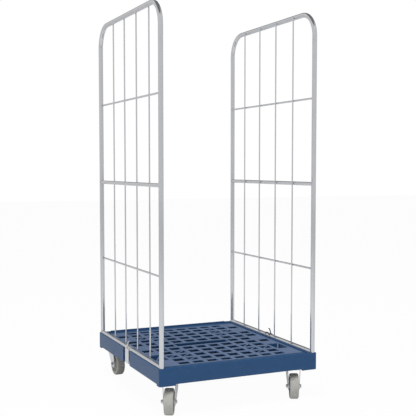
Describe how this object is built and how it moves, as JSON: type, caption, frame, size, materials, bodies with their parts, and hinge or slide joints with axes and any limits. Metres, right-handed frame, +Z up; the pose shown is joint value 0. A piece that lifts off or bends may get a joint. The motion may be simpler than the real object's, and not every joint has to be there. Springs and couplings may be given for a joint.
{
  "type": "roll container",
  "caption": "Roll container with a moulded plastic deck on four casters and two lift-out wire side panels, open at the front and the back.",
  "frame": {"origin": "on the floor, under the middle of the deck", "axes": "+X to the right along the front edge, +Y from the front to the back, where the deck has its lip, +Z up"},
  "size_m": [0.72, 0.8229, 1.65],
  "materials": {
    "blue_plastic": "matte moulded polyethylene, slightly scuffed",
    "zinc_tube": "bright zinc plate",
    "latch_steel": "bright zinc plate on pressed sheet",
    "caster_steel": "zinc plate on pressed sheet",
    "bright_steel": "turned steel",
    "zinc_fastener": "bright zinc plate on hexagon fasteners",
    "wheel_plastic": "warm grey moulded polyamide"
  },
  "bodies": {
    "base": {"deck": "blue_plastic", "caster_front_left_plate": "caster_steel", "caster_front_left_kingpin": "bright_steel", "caster_front_left_screw_1": "zinc_fastener", "caster_front_left_screw_2": "zinc_fastener", "caster_front_left_screw_3": "zinc_fastener", "caster_front_left_screw_4": "zinc_fastener", "caster_front_right_plate": "caster_steel", "caster_front_right_kingpin": "bright_steel", "caster_front_right_screw_1": "zinc_fastener", "caster_front_right_screw_2": "zinc_fastener", "caster_front_right_screw_3": "zinc_fastener", "caster_front_right_screw_4": "zinc_fastener", "caster_back_left_fork": "caster_steel", "caster_back_left_axle_bolt": "zinc_fastener", "caster_back_left_axle_nut": "zinc_fastener", "caster_back_left_screw_1": "zinc_fastener", "caster_back_left_screw_2": "zinc_fastener", "caster_back_left_screw_3": "zinc_fastener", "caster_back_left_screw_4": "zinc_fastener", "caster_back_right_fork": "caster_steel", "caster_back_right_axle_bolt": "zinc_fastener", "caster_back_right_axle_nut": "zinc_fastener", "caster_back_right_screw_1": "zinc_fastener", "caster_back_right_screw_2": "zinc_fastener", "caster_back_right_screw_3": "zinc_fastener", "caster_back_right_screw_4": "zinc_fastener"},
    "panel_left": {"panel_left_frame": "zinc_tube", "panel_left_bottom_bar": "zinc_tube", "panel_left_lower_rod": "zinc_tube", "panel_left_middle_rail": "zinc_tube", "panel_left_upper_rod": "zinc_tube", "panel_left_wire_1": "zinc_tube", "panel_left_wire_2": "zinc_tube", "panel_left_wire_3": "zinc_tube", "panel_left_wire_4": "zinc_tube"},
    "latch_left": {"latch_left": "latch_steel"},
    "panel_right": {"panel_right_frame": "zinc_tube", "panel_right_bottom_bar": "zinc_tube", "panel_right_lower_rod": "zinc_tube", "panel_right_middle_rail": "zinc_tube", "panel_right_upper_rod": "zinc_tube", "panel_right_wire_1": "zinc_tube", "panel_right_wire_2": "zinc_tube", "panel_right_wire_3": "zinc_tube", "panel_right_wire_4": "zinc_tube"},
    "latch_right": {"latch_right": "latch_steel"},
    "swivel_front_left": {"caster_front_left_race": "bright_steel", "caster_front_left_fork": "caster_steel", "caster_front_left_axle_bolt": "zinc_fastener", "caster_front_left_axle_nut": "zinc_fastener"},
    "wheel_front_left": {"caster_front_left_wheel": "wheel_plastic"},
    "swivel_front_right": {"caster_front_right_race": "bright_steel", "caster_front_right_fork": "caster_steel", "caster_front_right_axle_bolt": "zinc_fastener", "caster_front_right_axle_nut": "zinc_fastener"},
    "wheel_front_right": {"caster_front_right_wheel": "wheel_plastic"},
    "wheel_back_left": {"caster_back_left_wheel": "wheel_plastic"},
    "wheel_back_right": {"caster_back_right_wheel": "wheel_plastic"}
  },
  "joints": [
    {"name": "panel_left_lift", "type": "slide", "parent": "base", "child": "panel_left", "axis": [0, 0, 1], "range_m": [0, 0.06]},
    {"name": "latch_left_swing", "type": "hinge", "parent": "panel_left", "child": "latch_left", "pos_m": [-0.345, 0, 0.2], "axis": [0, 1, 0], "range_deg": [-6, 40]},
    {"name": "panel_right_lift", "type": "slide", "parent": "base", "child": "panel_right", "axis": [0, 0, 1], "range_m": [0, 0.06]},
    {"name": "latch_right_swing", "type": "hinge", "parent": "panel_right", "child": "latch_right", "pos_m": [0.345, 0, 0.2], "axis": [0, -1, 0], "range_deg": [-6, 40]},
    {"name": "swivel_front_left_turn", "type": "hinge", "parent": "base", "child": "swivel_front_left", "pos_m": [-0.287, -0.333, 0.125], "axis": [0, 0, 1], "continuous": true},
    {"name": "wheel_front_left_spin", "type": "hinge", "parent": "swivel_front_left", "child": "wheel_front_left", "pos_m": [-0.30217, -0.36343, 0.054], "axis": [0.8949, -0.4462, 0], "continuous": true},
    {"name": "swivel_front_right_turn", "type": "hinge", "parent": "base", "child": "swivel_front_right", "pos_m": [0.287, -0.333, 0.125], "axis": [0, 0, 1], "continuous": true},
    {"name": "wheel_front_right_spin", "type": "hinge", "parent": "swivel_front_right", "child": "wheel_front_right", "pos_m": [0.27183, -0.36343, 0.054], "axis": [0.8949, -0.4462, 0], "continuous": true},
    {"name": "wheel_back_left_spin", "type": "hinge", "parent": "base", "child": "wheel_back_left", "pos_m": [-0.287, 0.3445, 0.054], "axis": [1, 0, 0], "continuous": true},
    {"name": "wheel_back_right_spin", "type": "hinge", "parent": "base", "child": "wheel_back_right", "pos_m": [0.287, 0.3445, 0.054], "axis": [1, 0, 0], "continuous": true}
  ]
}
